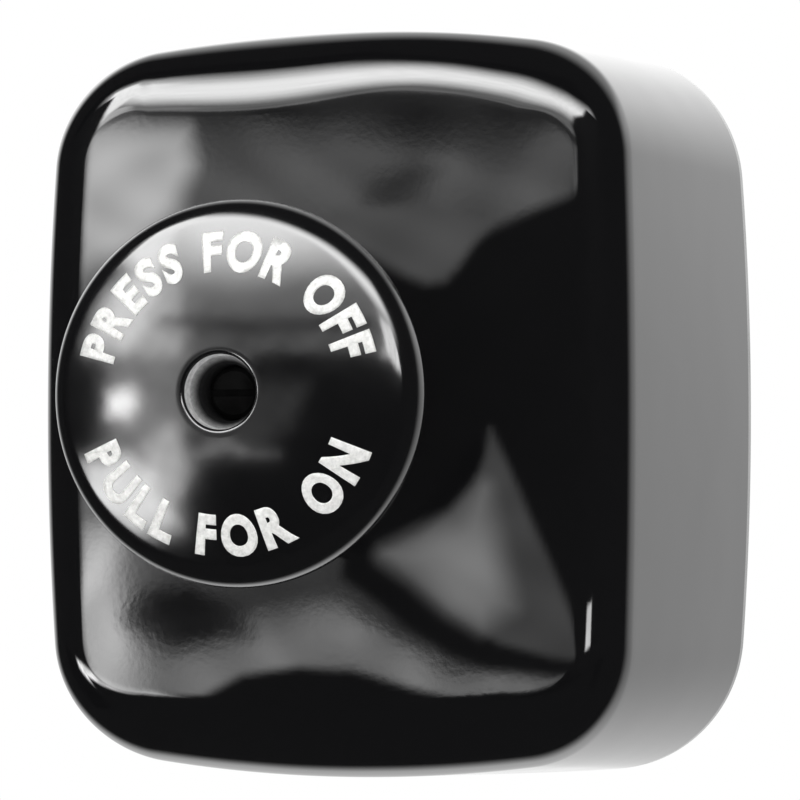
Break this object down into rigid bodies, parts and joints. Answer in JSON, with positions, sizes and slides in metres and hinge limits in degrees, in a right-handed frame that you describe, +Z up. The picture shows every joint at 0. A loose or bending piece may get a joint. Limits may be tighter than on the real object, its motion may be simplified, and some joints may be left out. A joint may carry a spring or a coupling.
{
  "type": "three-pole push button switch",
  "caption": "Surface-mounted three-pole switch: a bowed glossy black moulded cover and a large mushroom knob, pulled for on and pushed for off.",
  "frame": {"origin": "centre of the base plate's rear face, on the wall", "axes": "+Z up, +X to the right, -Y out of the wall through the knob"},
  "size_m": [0.106, 0.1073, 0.12],
  "materials": {
    "cover_phenolic": "polished black moulding",
    "knob_phenolic": "polished black moulding",
    "plate_phenolic": "dull black-brown moulding",
    "block_phenolic": "dull brown moulding",
    "contact_brass": "bright strip",
    "screw_brass": "turned",
    "bush_brass": "turned",
    "bridge_copper": "bright copper strip",
    "screw_steel": "turned and plated",
    "washer_steel": "pressed and plated",
    "frame_steel": "pressed and plated",
    "spring_steel": "drawn wire",
    "rod_steel": "ground bar"
  },
  "bodies": {
    "housing": {"cover": "cover_phenolic", "base_plate": "plate_phenolic", "contact_block": "block_phenolic", "block_screws": "screw_steel", "line_contact_left": "contact_brass", "line_contact_centre": "contact_brass", "line_contact_right": "contact_brass", "load_contact_left": "contact_brass", "load_contact_centre": "contact_brass", "load_contact_right": "contact_brass", "contact_screws": "screw_brass", "terminal_washers": "washer_steel", "terminal_screws": "screw_brass", "frame": "frame_steel", "frame_screws": "screw_steel", "guide_bush": "bush_brass", "ring_nut": "bush_brass", "detent_spring": "spring_steel", "spring_post": "screw_steel"},
    "plunger": {"knob": "knob_phenolic", "knob_screw": "screw_steel", "plunger_rod": "rod_steel", "crossbar": "block_phenolic", "bridge_left": "bridge_copper", "bridge_centre": "bridge_copper", "bridge_right": "bridge_copper", "bridge_screws": "screw_brass", "rod_washer": "washer_steel", "rod_nut": "screw_steel"}
  },
  "joints": [
    {"name": "plunger_slide", "type": "slide", "parent": "housing", "child": "plunger", "axis": [0, 1, 0], "range_m": [0, 0.014], "deforming": ["detent_spring"]}
  ]
}
